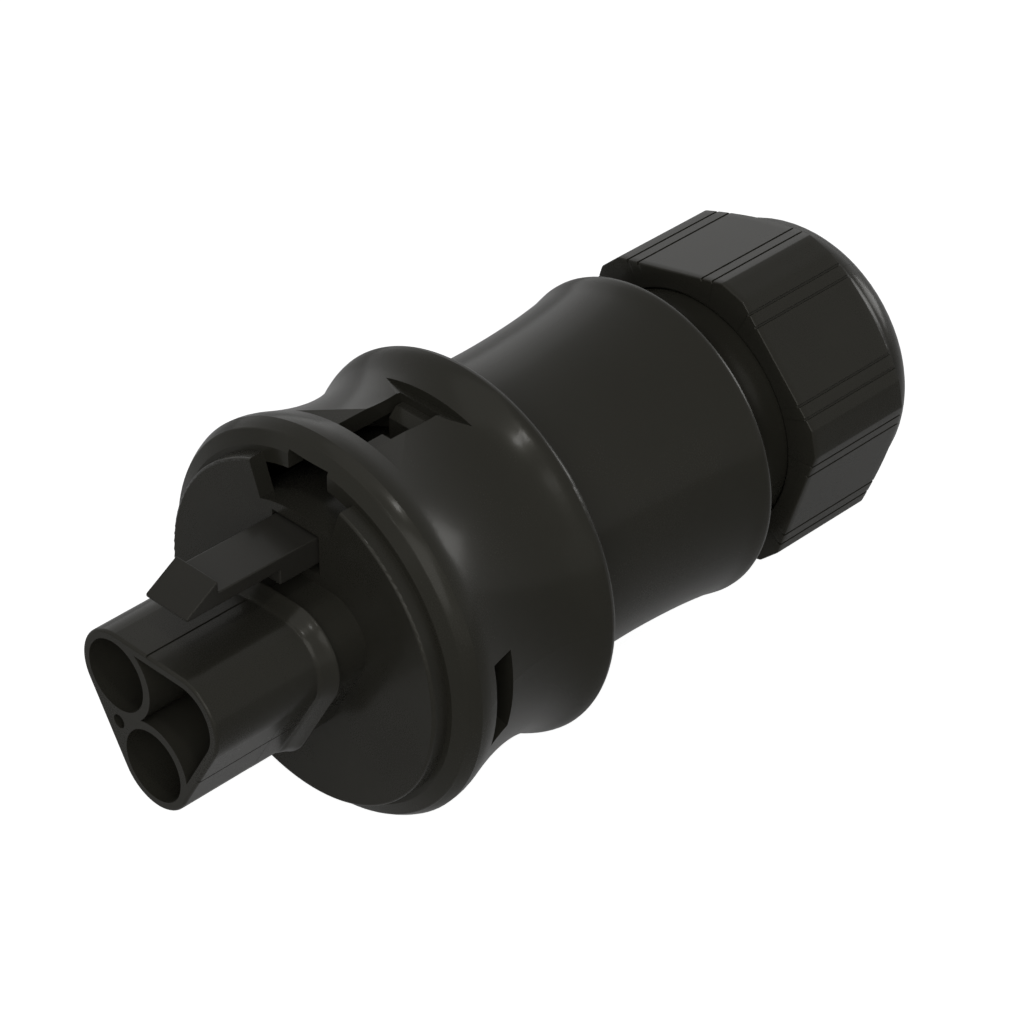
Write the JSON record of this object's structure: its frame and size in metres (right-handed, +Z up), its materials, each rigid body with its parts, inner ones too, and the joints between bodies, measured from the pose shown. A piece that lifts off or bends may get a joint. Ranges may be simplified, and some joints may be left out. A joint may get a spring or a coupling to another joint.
{
  "type": "installation connector",
  "caption": "Round plug-in installation connector, socket half, with latch lever, flanged collar and cable gland nut.",
  "frame": {"origin": "centre of the face plate's front face, on the connector's axis", "axes": "+X along the axis towards the mating end, +Z up towards the latch"},
  "size_m": [0.076, 0.0342, 0.0342],
  "materials": {
    "housing_plastic": "semi-matt dark warm grey, almost black, moulded polyamide",
    "insert_plastic": "semi-matt almost black moulded polyamide",
    "latch_plastic": "semi-matt almost black moulded polyamide",
    "gland_plastic": "dark grey moulded polyamide",
    "seal_rubber": "soft matt black elastomer",
    "contact_brass": "bright turned brass",
    "screw_steel": "zinc-plated steel",
    "spring_steel": "stainless spring steel"
  },
  "bodies": {
    "connector_body": {"contact_carrier": "insert_plastic", "plug_lip_seal": "seal_rubber", "carrier_cover": "gland_plastic", "latch_pin": "spring_steel", "latch_spring": "spring_steel", "front_collar": "housing_plastic", "housing_seal": "seal_rubber", "rear_housing": "housing_plastic", "clamp_cage": "gland_plastic", "gland_sleeve": "seal_rubber", "socket_contact_1": "contact_brass", "terminal_block_1": "contact_brass", "terminal_screw_1": "screw_steel", "socket_contact_2": "contact_brass", "terminal_block_2": "contact_brass", "terminal_screw_2": "screw_steel", "socket_contact_3": "contact_brass", "terminal_block_3": "contact_brass", "terminal_screw_3": "screw_steel"},
    "latch": {"latch_lever": "latch_plastic"},
    "slip_ring": {"thrust_ring": "gland_plastic"},
    "gland_nut": {"cap_nut": "housing_plastic"}
  },
  "joints": [
    {"name": "latch_press", "type": "hinge", "parent": "connector_body", "child": "latch", "pos_m": [-0.0076, 0, 0.00885], "axis": [0, 1, 0], "range_deg": [0, 5], "stiffness_Nm_per_rad": 0.4, "springref_deg": -3.44, "deforming": ["latch_spring"]},
    {"name": "gland_advance", "type": "slide", "parent": "connector_body", "child": "slip_ring", "axis": [1, 0, 0], "range_m": [-0.00601, 0.00226]},
    {"name": "nut_turn", "type": "hinge", "parent": "slip_ring", "child": "gland_nut", "pos_m": [-0.05, 0, 0], "axis": [1, 0, 0], "range_deg": [-1440, 540]}
  ],
  "couplings": [
    {"joint": "gland_advance", "follows": "nut_turn", "m_per_rad": 0.00023873}
  ]
}
